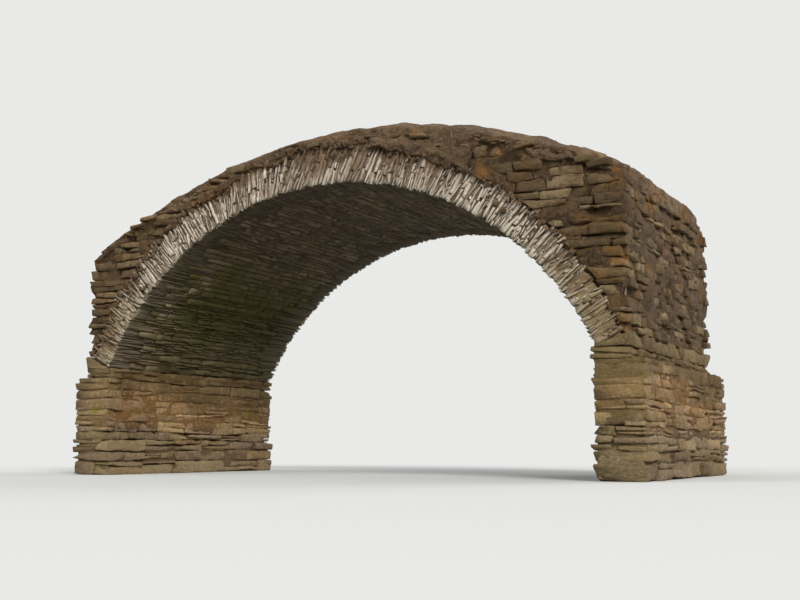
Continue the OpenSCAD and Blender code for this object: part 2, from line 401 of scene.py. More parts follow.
def ringFinish(look):
    board, mottle, height = stoneBoard("ringStone", look)
    over, up, buried = board.overSoffit(), board.axis(2), board.attribute("soil").step(0.4, 0.9)
    run = board.cloud(1, 3, 0.6, board.stretched(board.place, (5, 5, 0.8)))
    board.coat("run", run.step(0.55, 0.68) * 0.45)
    board.coat("lichen", board.cloud(13, 5, 0.7).step(0.57, 0.66) * (1 - buried) * 0.4)
    other = board.attribute("tint") + mottle * 0.4
    board.coat("mauve", other.band(0.55, 0.84, 0.05) * (1 - buried) * 0.5)
    # soil has washed over the outer half of the ring: first a stain, then the soil itself in crumbs
    streaks, flank = board.cloud(3.4, 5, 0.7), up.band(1.88, 2.62, 0.22)
    board.coat("pale", flank * mottle.step(0.35, 0.55) * (1 - buried) * 0.8)
    board.coat("foot", (1 - (up + streaks * 0.6).step(1.75, 2.4)) * 0.72)
    slanted = board.unrolled(over, (1 - streaks) * 1.6 - 1.1)
    strokes = board.cloud(1, 4, 0.65, board.stretched(slanted, (56, 7, 7)))
    board.coat("pale", strokes.step(0.52, 0.66) * (1 - buried * 0.6) * 0.45)
    rim = 1 - (over + streaks * 0.12).step(0.06, 0.17)
    board.coat("rim", rim * mottle.step(0.32, 0.52) * 0.55)
    groups = board.cloud(1, 3, 0.55, board.stretched(board.unrolled(over, -0.3), (3.1, 0.5, 0.5)))
    washed = over + streaks * 0.3 + board.cloud(21, 5, 0.75) * 0.16 - flank * 0.12 + (groups - 0.5) * 0.85
    washed = washed + (1 - up.step(1.5, 2.2)) * 0.08 + 0.01
    crumbs = board.cloud(44, 4, 0.7)
    board.coat("stain", washed.step(0.45, 0.60) * 0.85)
    board.coat(board.blend("soil", "stain", crumbs.step(0.4, 0.62)), washed.step(0.53, 0.66) * 0.85)
    board.coat("lichen", strokes.step(0.54, 0.66) * (1 - washed.step(0.6, 0.8)) * 0.22)
    board.coat("dark", (1 - strokes).step(0.52, 0.68) * 0.42)
    # what faces down belongs to the soffit
    across = abs(board.axis(1, board.node("NewGeometry", {}, {}, 1)))
    facing = across.step(0.3, 0.65) * abs(board.axis(1)).step(1.38, 1.46)
    under = board.blend("under", "algae", up.band(1.55, 2.2, 0.22) * streaks.step(0.36, 0.56) * 0.6)
    under = board.blend(under, "damp", board.axis(1).step(0.5, 1.0) * (1 - up.step(1.7, 2.3)) * 0.72)
    board.coat(under, (1 - facing) * 0.88)
    height = height + strokes + crumbs * (washed.step(0.5, 0.66) + buried) * 1.2
    return board.finish(0.82 + mottle * 0.14, height, 0.016)


def soffitFinish(look):
    board, mottle, height = stoneBoard("soffitStone", look)
    up, wander = board.axis(2), board.cloud(1.5)
    level = up + wander * 0.7 - 0.35
    board.coat("foot", (1 - level.step(1.1, 2.0)) * 0.6)
    board.coat("spring", (1 - (up + wander * 0.5).step(1.25, 1.65)) * 0.5)
    # low down the stones differ more
    low, other = 1 - level.step(1.5, 2.2), board.attribute("tint") + mottle * 0.4
    board.coat("pale", other.step(1.0, 1.12) * low * 0.7)
    board.coat("dark", (1 - other.step(0.36, 0.46)) * low * 0.7)
    board.coat("violet", other.band(0.62, 0.84, 0.05) * low * 0.55)
    algae, blotches = level.band(1.5, 2.25, 0.22) * wander.step(0.34, 0.54), board.cloud(8, 5, 0.72)
    board.coat("algae", algae * (blotches.step(0.40, 0.56) * 0.35 + 0.62))
    board.coat("green", algae * (1 - blotches).step(0.5, 0.6) * 0.65)
    board.coat("mould", level.step(1.9, 2.4) * blotches.step(0.5, 0.62) * 0.35)
    board.coat("moss", board.cloud(4.1).step(0.66, 0.70) * (1 - up.step(1.6, 2.1)) * 0.7)
    board.coat("dark", board.cloud(3.2, 3).step(0.5, 0.68) * 0.24)
    board.coat("salt", board.cloud(11, 4, 0.7).step(0.63, 0.72) * 0.22)
    inside = (board.axis(1) + wander * 1.2).step(-0.75, 0.1) * (1 - up.step(1.7, 2.3))
    board.coat("damp", inside * 0.72)
    return board.finish(0.74 + mottle * 0.2, height, 0.016)


def abutmentFinish(look):
    board, mottle, height = stoneBoard("abutmentStone", look)
    up, wander, soil = board.axis(2), board.cloud(2.2), board.attribute("soil")
    # painted shade: the deep joints of the lower courses are painted dark
    board.coat("dark", soil.step(0.25, 0.8) * (1 - (up + wander * 0.4).step(0.5, 0.8)) * 0.85)
    low, bare = 1 - (up + wander * 0.5).step(0.85, 1.2), 1 - soil.step(0.3, 0.8)
    other, flecks = board.attribute("tint") + mottle * 0.4, board.cloud(34, 4, 0.75)
    board.coat("mauve", other.band(0.60, 0.86, 0.05) * low * bare * 0.75)
    board.coat("corner", (1 - other.step(0.40, 0.50)) * low * bare * 0.45)
    board.coat("pale", other.step(1.0, 1.1) * low * 0.5)
    board.coat("pale", flecks.step(0.51, 0.60) * bare * 0.6)
    board.coat("dark", (1 - flecks).step(0.55, 0.65) * bare * 0.58)
    board.coat("ochre", (up + wander * 0.5).band(0.78, 1.32, 0.14) * mottle.step(0.34, 0.6) * 0.5)
    board.coat("base", (1 - (up + wander * 0.4).step(0.45, 0.72)) * 0.45)
    inner = board.axis(1).step(-0.9, 0.7) * 0.18
    board.coat("spring", (up + wander * 0.8 + inner).step(1.20, 1.42) * 0.72)
    corner = (abs(board.axis(1)) + board.cloud(3.6) * 0.8).step(1.56, 1.84)
    board.coat("corner", corner * mottle.step(0.3, 0.55) * 0.4)
    board.coat("moss", board.cloud(5.2).step(0.635, 0.68) * mottle.step(0.3, 0.5) * 0.85)
    board.coat("lichen", board.cloud(12, 5, 0.7).step(0.6, 0.68) * 0.35)
    return board.finish(0.82 + mottle * 0.14, height + flecks * 0.8, 0.028)


def haunchFinish(look):
    board, mottle, height = stoneBoard("haunchStone", look)
    mud = board.cloud(6.5, 5, 0.7)
    board.coat("soil", mud.step(0.46, 0.6) * 0.75)
    board.coat("rust", board.cloud(2.6).step(0.56, 0.66) * 0.5)
    return board.finish(0.85 + mottle * 0.12, height + mud * 0.8, 0.028)


def earthFinish(look):
    board = Board(bpy.data.materials.new("deckEarth"), look)
    patches, broad, lumps = board.cloud(1.3), board.cloud(3.1, 5), board.cloud(11, 6, 0.72)
    crumbs, grit = board.cloud(55, 5, 0.75), board.cloud(160, 3, 0.7)
    worn = 1 - abs(board.axis(1) + patches * 0.5 - 0.25).step(0.25, 0.75)
    board.body = board.blend("earth", "damp", broad.step(0.40, 0.58) * 0.8)
    board.coat("trodden", worn * broad.step(0.3, 0.55) * 0.75)
    board.coat("dark", lumps.step(0.46, 0.66) * 0.7)
    board.coat("pale", crumbs.step(0.50, 0.68) * 0.6)
    board.coat("orange", patches.step(0.55, 0.66) * crumbs.step(0.35, 0.6) * 0.45)
    board.coat("dark", grit.step(0.52, 0.66) * 0.6)
    board.coat("pale", (1 - grit).step(0.56, 0.68) * 0.55)
    return board.finish(0.93, lumps * 0.8 + crumbs * 0.8 + grit * 0.3, 0.04)


ringStone = ringFinish({
    "grey": (192, 179, 163), "brown": (176, 154, 129), "dark": (114, 95, 80), "darkShare": 0.45,
    "pale": (214, 204, 187), "paleShare": 0.8, "patchScale": 1.5, "shade": (0.66, 1.16),
    "stain": (120, 96, 70), "mauve": (160, 139, 131), "rim": (186, 182, 164), "run": (124, 97, 66),
    "foot": (142, 124, 86), "lichen": (198, 190, 177), "under": (98, 86, 66), "algae": (84, 82, 38),
    "damp": (74, 67, 32), "joint": (108, 90, 71), "soil": (132, 110, 84),
})
soffitStone = soffitFinish({
    "grey": (134, 120, 95), "brown": (124, 107, 79), "dark": (84, 72, 53), "darkShare": 0.45,
    "pale": (160, 147, 120), "paleShare": 0.5, "patchScale": 0.9, "shade": (0.78, 1.22),
    "foot": (132, 119, 86), "spring": (118, 99, 66), "algae": (92, 87, 26), "green": (56, 66, 14),
    "mould": (132, 115, 82), "damp": (74, 67, 32), "moss": (110, 106, 32), "salt": (134, 126, 108),
    "violet": (112, 97, 90), "joint": (64, 54, 41), "soil": (96, 82, 62),
})
abutmentStone = abutmentFinish({
    "grey": (142, 121, 88), "brown": (142, 109, 62), "dark": (76, 57, 34), "darkShare": 0.75,
    "pale": (176, 153, 114), "paleShare": 0.8, "patchScale": 1.1, "shade": (0.65, 1.36),
    "mauve": (132, 109, 93), "ochre": (140, 96, 43), "base": (106, 88, 65), "spring": (84, 67, 37),
    "corner": (134, 119, 84), "moss": (118, 112, 30), "lichen": (180, 166, 138),
    "joint": (92, 70, 40), "soil": (136, 107, 65),
})
haunchStone = haunchFinish({
    "grey": (112, 95, 68), "brown": (102, 79, 48), "dark": (56, 43, 25), "darkShare": 0.6,
    "pale": (146, 127, 95), "paleShare": 0.5, "patchScale": 1.3, "shade": (0.66, 1.16),
    "rust": (136, 92, 40), "joint": (56, 43, 28), "soil": (94, 72, 47),
})
deckEarth = earthFinish({"earth": (114, 91, 66), "damp": (86, 66, 47), "trodden": (134, 116, 91),
                         "dark": (54, 41, 29), "pale": (156, 135, 109), "orange": (138, 97, 52)})
print("materials made")


# The slabs of the ring keep the places of the face slabs of the solids
def slabCells(node):
    bm = bmesh.new()
    bm.from_mesh(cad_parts[node].data)
    bmesh.ops.remove_doubles(bm, verts=bm.verts, dist=1e-5)
    found, left = [], set(bm.verts)
    while left:
        island, edge = set(), [left.pop()]
        while edge:
            vert = edge.pop()
            island.add(vert)
            edge.extend(e.other_vert(vert) for e in vert.link_edges if e.other_vert(vert) not in island)
        left -= island
        spots = [v.co for v in island]
        angles = sorted(math.atan2(p.x, p.z - centreHeight) for p in spots)
        radii = sorted(math.hypot(p.x, p.z - centreHeight) for p in spots)
        half = len(spots) // 2
        found.append({
            "low": sum(angles[:half]) / half, "high": sum(angles[half:]) / half,
            "inner": sum(radii[:half]) / half, "outer": sum(radii[half:]) / half,
            "reach": max(abs(p.y) for p in spots),
        })
    bm.free()
    return sorted(found, key=lambda cell: cell["low"])


ring = {
    "cells": ((0.012, 3, 4), (0.028, 4, 15), (0.20, 2, 2)), "shake": 0.005, "worn": 0.004, "rough": 0.006,
    "roughSize": 0.09, "ledge": 0.012, "ledgeRate": (75, 11), "chip": 0.022, "broken": 0.7,
    "soilShadeDepth": 0.05,
    "tail": (0.24, 0.56),       # how far a face slab runs into the bridge
    "slabs": {"front": (2, 3, 3, 3, 4), "back": (2, 2, 3, 3)},      # thin slabs in a cell
    "uneven": (0.5, 1.5),       # how their thickness differs
    "lengths": {"front": (1, 2, 2, 3, 3, 4), "back": (1, 2, 2)},    # the lengths that a slab lies in
    "breaks": (0.2, 0.85), "shortest": 0.09, "breakGap": 0.018,     # as shares of the whole slab
    "full": (0.80, 1.10),       # share of its room that a slab fills
    "turn": 0.0015, "lean": 0.003, "fan": 0.036, "fanRate": 5.0,        # they lean alone and in groups
    "crownLean": 0.022, "crownSpread": 0.2,
    "skew": {"front": 0.0034, "back": 0.0012},
    "earthCells": ((0.03, 3, 12), (0.035, 6, 12), (0.10, 3, 3)), "earthWorn": 0.012, "earthRough": 0.022,
    "earthSize": 0.07, "earthBlocks": 4, "earthOver": 0.02, "earthInset": 0.053, "earthDeep": 0.22,
    "recess": {"front": 0.021, "back": 0.014},
    "sunk": {"front": 0.11, "back": 0.10},      # share of the slabs that are weathered back
    "sunkBy": (0.008, 0.030),
    "innerRagged": {"front": 0.007, "back": 0.004},
    "innerKept": {"front": 1.0, "back": 0.4},   # share of the raggedness of the solids at the soffit
    "outerRagged": (-0.06, 0.02),
    "calmer": {"broken": 0.1, "chip": 0.008, "shake": 0.003, "ledge": 0.006},   # the far face
    "seed": 7,
}
cells = {(face, zone): slabCells(face + "_ring_" + zone) for face in ("front", "back") for zone in zoneNames}
tailRng = random.Random(ring["seed"])
tails = {key: [tailRng.uniform(*ring["tail"]) for _ in found] for key, found in cells.items()}


def ringSlab(bed, low, high, cell, tail, face, rng):
    side = -1 if face == "front" else 1
    look = dict(ring, **ring["calmer"]) if face == "back" else ring
    middle = (low + high) / 2 + rng.uniform(-1, 1) * ring["turn"]
    inner = soffitRadius + (cell["inner"] - soffitRadius) * ring["innerKept"][face]
    inner += rng.uniform(-1, 1) * ring["innerRagged"][face]
    outer = cell["outer"] + rng.uniform(*ring["outerRagged"])
    fan = ring["fan"] * waver(middle * ring["fanRate"], side * 3, 2)
    fan += ring["crownLean"] * math.exp(-middle ** 2 / ring["crownSpread"])
    lean = rng.uniform(-1, 1) * ring["lean"] + fan * (1 - (middle / halfAngle) ** 2)
    breaks = rng.choice(ring["lengths"][face]) - 1
    cuts = [0.0] + sorted(rng.uniform(*ring["breaks"]) for _ in range(breaks)) + [1.0]
    for near, far in zip(cuts, cuts[1:]):
        if far - near < ring["shortest"]:
            continue
        thickness = (high - low) * soffitRadius * rng.uniform(*ring["full"])
        reach = cell["reach"] - rng.random() * ring["recess"][face]
        if rng.random() < ring["sunk"][face]:
            reach -= rng.uniform(*ring["sunkBy"])
        skew = rng.uniform(-1, 1) * ring["skew"][face]
        ends = [(inner + (outer - inner) * along, lean * (2 * along - 1) + turn * skew)
                for along, turn in ((near, -1), (far - (ring["breakGap"] if far < 1 else 0), 1))]
        corners = [[[onArch(radius, middle + turn + half * thickness / 2 / radius, y)
                     for y in (side * reach, side * (cell["reach"] - tail))]
                    for radius, turn in ends] for half in (-1, 1)]
        layStone(bed, corners, look, rng, [(1, 0), (2, 0)] if near == 0 else [(2, 0)])


def ringEarth(bed, face, low, high, rng):
    # earth and crumbled stone between the slabs, a little back from their faces
    side = -1 if face == "front" else 1
    look, count, over = earthy(ring), ring["earthBlocks"], ring["earthOver"]
    ys = [side * (bridge["halfWidth"] - inset) for inset in (ring["earthInset"], ring["earthDeep"])]
    for k in range(count):
        ends = [low + (high - low) * (k + step) / count for step in (-over, 1 + over)]
        corners = [[[onArch(radius, angle, y) for y in ys]
                    for radius in (soffitRadius + 0.026, soffitRadius + ringDepth(angle) - 0.03)]
                   for angle in ends]
        layStone(bed, corners, look, rng)


def ringZone(face, zone):
    rng = random.Random(ring["seed"] + 31 * zoneNames.index(zone) + (500 if face == "back" else 0))
    bed = newBed()
    found = cells[face, zone]
    for cell, tail in zip(found, tails[face, zone]):
        room = [rng.uniform(*ring["uneven"]) for _ in range(rng.choice(ring["slabs"][face]))]
        edge = cell["low"]
        for share in room:
            start, edge = edge, edge + (cell["high"] - cell["low"]) * share / sum(room)
            ringSlab(bed, start, edge, cell, tail, face, rng)
    ringEarth(bed, face, found[0]["low"], found[-1]["high"], rng)
    node = face + "_ring_" + zone
    finishPiece(bed, node + "_slabs", ringStone, [node])


for face in ("front", "back"):
    for zone in zoneNames:
        ringZone(face, zone)
print("ring slabs laid")

vault = {
    "cells": ((0.022, 3, 4), (0.10, 2, 2), (0.056, 3, 9)), "shake": 0.005, "worn": 0.006, "rough": 0.008,
    "roughSize": 0.10, "ledge": 0.007, "ledgeRate": (70, 8), "chip": 0.012, "broken": 0.3,
    "soilShadeDepth": 0.035, "joint": 0.007, "bedJoint": (0.0006, 0.0030), "depth": 0.17, "back": 0.012,
    "earthCells": ((0.05, 3, 4), (0.1, 3, 3), (0.07, 6, 44)), "earthWorn": 0.01, "earthRough": 0.019,
    "earthSize": 0.10, "earthBlocks": 6, "earthOver": 0.004, "earthInset": 0.068,
    "earthBack": (0.019, 0.036), "earthSteep": (0.35, 0.95), "seed": 19,
    "cut": (0.35, 0.65), "small": 0.04,     # where a course is split in two, and what may fall out
    "steep": (0.42, 1.0),       # the crown is even and fine, and the foot is of small, uneven stones
    "crown": {"proud": (-0.002, 0.006), "length": (0.08, 0.28), "split": 0.25, "wander": 0.0012,
              "rough": 0.006, "ledge": 0.004, "shake": 0.004, "missing": 0.0},
    "foot": {"proud": (-0.012, 0.026), "length": (0.08, 0.30), "split": 0.62, "wander": 0.0038,
             "rough": 0.011, "ledge": 0.016, "shake": 0.008, "missing": 0.05},
}


def mortarArc(bed, low, high, rng):
    # the dark mass of earth and mortar behind the stones, set back from the faces and the soffit
    look, count, over = earthy(vault), vault["earthBlocks"], vault["earthOver"]
    y = bridge["halfWidth"] - vault["earthInset"]
    least, most = vault["earthBack"]
    for k in range(count):
        corners = []
        for angle in (low + (high - low) * k / count - over, low + (high - low) * (k + 1) / count + over):
            start = least + (most - least) * ease(abs(angle) / halfAngle, *vault["earthSteep"])
            corners.append([[onArch(radius, angle, side * y) for side in (-1, 1)]
                            for radius in (soffitRadius + start, soffitRadius + ringDepth(angle) - 0.05)])
        layStone(bed, corners, look, rng)


def vaultLook(steep):
    # between the crown's look and the foot's
    look = dict(vault)
    for key, crown in vault["crown"].items():
        foot = vault["foot"][key]
        if isinstance(crown, tuple):
            look[key] = tuple(a + (b - a) * steep for a, b in zip(crown, foot))
        else:
            look[key] = crown + (foot - crown) * steep
    return look


def vaultZone(zone):
    rng = random.Random(vault["seed"] + 17 * zoneNames.index(zone))
    bed = newBed()
    courses = cells["front", zone]
    for i, cell in enumerate(courses):
        starts = -(cell["reach"] - tails["front", zone][i])
        ends = cells["back", zone][i]["reach"] - tails["back", zone][i]
        low, high = cell["low"], cell["high"]
        look = vaultLook(ease(abs(low + high) / 2 / halfAngle, *vault["steep"]))
        rows = [(low, high)]
        if rng.random() < look["split"]:
            cut = low + (high - low) * rng.uniform(*look["cut"])
            rows = [(low, cut), (cut, high)]
        for a, b in rows:
            for y0, y1 in stretches(starts, ends, look["length"], rng):
                if rng.random() < look["missing"] and (b - a) * soffitRadius < look["small"]:
                    continue
                y0, y1 = y0 + look["joint"] * rng.uniform(0.2, 1), y1 - look["joint"] * rng.uniform(0.2, 1)
                radius = soffitRadius - rng.uniform(*look["proud"]) + look["back"]
                beds = a + rng.uniform(*look["bedJoint"]), b - rng.uniform(*look["bedJoint"])
                corners = [[[onArch(r, angle + look["wander"] * waver(y * 1.9, angle * 8, 3), y)
                             for y in (y0, y1)] for r in (radius, radius + look["depth"])] for angle in beds]
                layStone(bed, corners, look, rng, [(1, 0)])
    mortarArc(bed, courses[0]["low"] - 0.001, courses[-1]["high"] + 0.001, rng)
    finishPiece(bed, "vault_" + zone + "_slabs", soffitStone, ["vault_" + zone])


for zone in zoneNames:
    vaultZone(zone)
print("vault laid")

abutment = {
    "cells": ((0.022, 3, 6), (0.12, 3, 4), (0.05, 4, 14)), "shake": 0.009, "worn": 0.010, "rough": 0.013,
    "roughSize": 0.12, "ledge": 0.018, "ledgeRate": (60, 7), "chip": 0.026, "broken": 0.6,
    "soilShadeDepth": 0.04, "length": (0.15, 0.66), "joint": 0.012, "inner": (0.18, 0.30),
    "corner": (0.17, 0.36), "cornerShare": 0.6,     # longer stones at the corners
    "sunk": 0.028, "wave": 0.030, "split": 0.46, "cornerSplit": 0.8, "cornerThirds": 0.25,
    "splitOver": 0.08, "thirds": ((0.27, 0.39), (0.6, 0.74)), "halves": ((0.34, 0.66),),
    "undercut": 0.075, "undercutShare": 0.6, "undercutCourse": 0,
    "earthCells": ((0.045, 3, 20), (0.06, 3, 10), (0.05, 4, 60)), "earthWorn": 0.02, "earthRough": 0.026,
    "earthSize": 0.12, "earthInset": 0.036,
    "courses": (0.085, 0.115, 0.095, 0.125, 0.1, 0.11), "firstBed": 3, "lastBed": 11, "seed": 41,
}
footing = dict(abutment, length=(0.24, 0.70), courses=(0.14, 0.105, 0.115), shake=0.013, rough=0.015,
               split=0.4, cornerSplit=0.4, corner=(0.25, 0.5), sunk=0.042, earthInset=0.060, joint=0.019,
               undercutCourse=None, firstBed=0, seed=43)
springer = dict(abutment, courses=(0.05, 0.06), length=(0.14, 0.50), sunk=0.022, undercutCourse=None,
                firstBed=9, ringGap=0.004, seed=47)


def withEnds(shown, a, b, y):
    # shown, and the end face of a stone from a to b that lies at an end of its row
    return shown + [(2, end) for end, last in enumerate((a == -y, b == y)) if last]


def blockStone(bed, side, look, rng, room, low, high, shown, deeper):
    # one stone of a coursed block, its faces worn back a little; low and high give its beds' heights
    near, far, a, b = room
    worn = [rng.uniform(0, look["sunk"]) for _ in range(4)]
    faces = (((1, 0), deeper), ((1, 1), deeper), ((2, 0), 0), ((2, 1), 0))
    back = [worn[k] + more if face in shown else 0 for k, (face, more) in enumerate(faces)]
    xs, ys = (near + back[0], far - back[1]), (a + back[2], b - back[3])
    gap = look["joint"] / 2
    corners = [[[(side * x, y, height(x, y) + lift) for y in ys] for x in xs]
               for height, lift in ((low, gap * rng.uniform(0.2, 1)), (high, -gap * rng.uniform(0.2, 1)))]
    layStone(bed, corners, look, rng, shown)


def courseParts(look, rng, x0, x1, y):
    # the stones of one course: corner stones first, then a row along each face
    gap = look["joint"] / 2
    corners = [rng.uniform(*look["corner"]) if rng.random() < look["cornerShare"] else 0.0 for _ in range(2)]
    parts = []
    for end, length in enumerate(corners):
        if length:
            a, b = (-y, -y + length - gap) if end == 0 else (y - length + gap, y)
            parts.append(((x0, x1, a, b), [(1, 0), (1, 1), (2, end)]))
    split = x0 + rng.uniform(*look["inner"])
    for face, (near, far) in enumerate(((x0, split - gap), (split + gap, x1))):
        for a, b in stretches(-y + corners[0], y - corners[1], look["length"], rng):
            start = a if a == -y else a + gap * rng.uniform(0.3, 1.6)
            end = b if b == y else b - gap * rng.uniform(0.3, 1.6)
            parts.append(((near, far, start, end), withEnds([(1, face)], a, b, y)))
    return parts


def coursedBlock(bed, side, look, rng, z0, z1, x0, x1, y):
    count = len(look["courses"])
    levels = [z0 + (z1 - z0) * sum(look["courses"][:k]) / sum(look["courses"]) for k in range(count + 1)]

    def bedLine(k):
        course = k + look["firstBed"]
        wave = look["wave"] if 0 < course < look["lastBed"] else 0.0
        return lambda x, yy: levels[k] + wave * waver(x * 1.4 + side * 9, yy * 1.2, course * 5.7)

    for k in range(count):
        low, high = bedLine(k), bedLine(k + 1)
        for room, shown in courseParts(look, rng, x0, x1, y):
            deeper = 0.0
            if k == look["undercutCourse"] and rng.random() < look["undercutShare"]:
                deeper = look["undercut"] * rng.random()
            corner = len(shown) > 1
            rows = [0.0, 1.0]
            tall = levels[k + 1] - levels[k] > look["splitOver"]
            if tall and rng.random() < look["cornerSplit" if corner else "split"]:
                third = corner and rng.random() < look["cornerThirds"]
                rows[1:1] = [rng.uniform(*cut) for cut in look["thirds" if third else "halves"]]
            beds = [lambda x, yy, row=row: low(x, yy) * (1 - row) + high(x, yy) * row for row in rows]
            for under, over in zip(beds, beds[1:]):
                blockStone(bed, side, look, rng, room, under, over, shown, deeper)
    # the earth between the stones comes nearly up to their faces, and over their edges in places
    inset, slot = look["earthInset"], levels[0 if look["undercutCourse"] is None else 1]
    lowest = z0 - 0.035 if look["firstBed"] else z0 + 0.012      # down into the block below
    for start, end, back in ((slot + 0.010, z1 - 0.016, inset),
                             (lowest, slot + 0.012, inset + look["undercut"])):
        if end - lowest > 0.02:
            layStone(bed, [[[(side * x, yy, z) for yy in (-y + inset, y - inset)]
                            for x in (x0 + back, x1 - inset)] for z in (start, end)], earthy(look), rng)


def springerStones(bed, side, rng):
    # the skewback: sloped stones that the ring stands on, and the shelf behind it
    y, high = bridge["halfWidth"], bridge["springing"]
    start, gap = bridge["halfSpan"] + 0.025, springer["ringGap"]
    for a, b in stretches(-y, y, springer["length"], rng):
        corners = [[[(side * x, yy, z) for yy in (a + gap, b - gap)] for x, z in row]
                   for row in (((start, high - gap), (shelfEdge, high)),
                               ((start, high + 0.010), (shelfEdge, shelfHeight)))]
        layStone(bed, corners, springer, rng, withEnds([(1, 1)], a, b, y))


def layBlocks(side, word):
    y, foot, springing, proud = bridge["halfWidth"], bridge["footing"], bridge["springing"], 0.02
    top, inner, outer = springing - bridge["springerHeight"], bridge["abutmentIn"], bridge["abutmentOut"]
    for name, look, slotName, spans in (
            ("footing", footing, "footing_stone", (0.0, foot, inner - proud, outer + proud, y + proud)),
            ("abutment", abutment, "abutment_stone", (foot, top, inner, outer, y)),
            ("springer", springer, "abutment_stone", (top, springing, inner, shelfEdge, y))):
        rng = random.Random(look["seed"] + side)
        bed = newBed()
        coursedBlock(bed, side, look, rng, *spans)
        if name == "springer":
            springerStones(bed, side, rng)
        for vert in bed.verts:
            vert.co.z = max(vert.co.z, 0.0)
        finishPiece(bed, word + "_" + name + "_slabs", abutmentStone, [word + "_" + name])


for side, word in bothSides:
    layBlocks(side, word)
print("abutments laid")

haunch = {
    "cells": ((0.022, 3, 5), (0.08, 3, 3), (0.036, 4, 10)), "shake": 0.010, "worn": 0.006, "rough": 0.013,
    "roughSize": 0.10, "ledge": 0.020, "ledgeRate": (60, 8), "chip": 0.026, "broken": 0.75,
    "soilShadeDepth": 0.03, "length": (0.08, 0.38), "height": (0.034, 0.105), "joint": 0.012,
    "proud": (-0.012, 0.042), "deep": 0.12, "endDeep": 0.15, "wave": 0.022, "missing": 0.07,
    "thin": (0.008, 0.022), "endThin": 0.02,        # stones thinner than this are left out
    "endRagged": 0.028, "endInset": 0.10, "roof": -0.004,
    "last": 0.9,        # x at which the courses come up to the deck
    "whole": (0.55, 1.8),       # from no stones to all of them, along x
    "shortest": 0.05, "headroom": 0.03,
    "coreFace": 1.436, "coreIn": 0.25, "coreOut": 0.035, "coreUnder": 0.06, "coreOver": 0.015,
    "coreCuts": (64, 44, 40), "heap": 0.085, "heapSize": 0.21, "clod": 0.016, "clodSize": 0.06,
    "crumb": 0.014, "crumbSize": 0.09, "seed": 61,
}


def haunchCore(bed, side):
    # earth and small rubble, from the back of the ring to the deck
    core = newBed()
    along, upwards, across = haunch["coreCuts"]
    bmesh.ops.create_grid(core, x_segments=along, y_segments=upwards, size=1)
    innerEnd, outerEnd = bridge["haunchIn"] - haunch["coreIn"], bridge["haunchOut"] - haunch["coreOut"]
    for vert in core.verts:
        x = innerEnd + (outerEnd - innerEnd) * (vert.co.x + 1) / 2
        bottom = max(ringTop(x) - haunch["coreUnder"], shelfHeight - 0.02)
        top = max(fillHeight(side * x) + haunch["coreOver"], bottom + 0.02)
        vert.co = Vector((side * x, -haunch["coreFace"], bottom + (top - bottom) * (vert.co.y + 1) / 2))
    grown = bmesh.ops.extrude_face_region(core, geom=core.faces[:])
    moved = [g for g in grown["geom"] if isinstance(g, bmesh.types.BMVert)]
    bmesh.ops.translate(core, verts=moved, vec=(0, 2 * haunch["coreFace"], 0))
    long = [e for e in core.edges if abs(e.verts[0].co.y - e.verts[1].co.y) > 1]
    bmesh.ops.subdivide_edges(core, edges=long, cuts=across, use_grid_fill=True)
    soilShadeLayer, grainLayer = core.verts.layers.float["soil"], core.verts.layers.float_vector["grain"]
    for vert in core.verts:
        # the cuts differ in their last digits from run to run
        vert.co = Vector([round(c, 5) for c in vert.co])
        vert[soilShadeLayer] = 1.0
        vert[grainLayer] = vert.co
        outX = side * ease(abs(vert.co.x), outerEnd - 0.1, outerEnd)
        outY = ease(abs(vert.co.y), 1.3, 1.4) * math.copysign(1, vert.co.y)
        heap = noise.noise(vert.co / haunch["heapSize"]) * haunch["heap"]
        heap += abs(noise.noise(vert.co / haunch["clodSize"])) * haunch["clod"]
        crumb = noise.noise_vector(vert.co / haunch["crumbSize"]) * haunch["crumb"]
        vert.co += Vector((outX, outY, 0)) * heap + crumb
    core.to_mesh(scratch)
    core.free()
    bed.from_mesh(scratch)


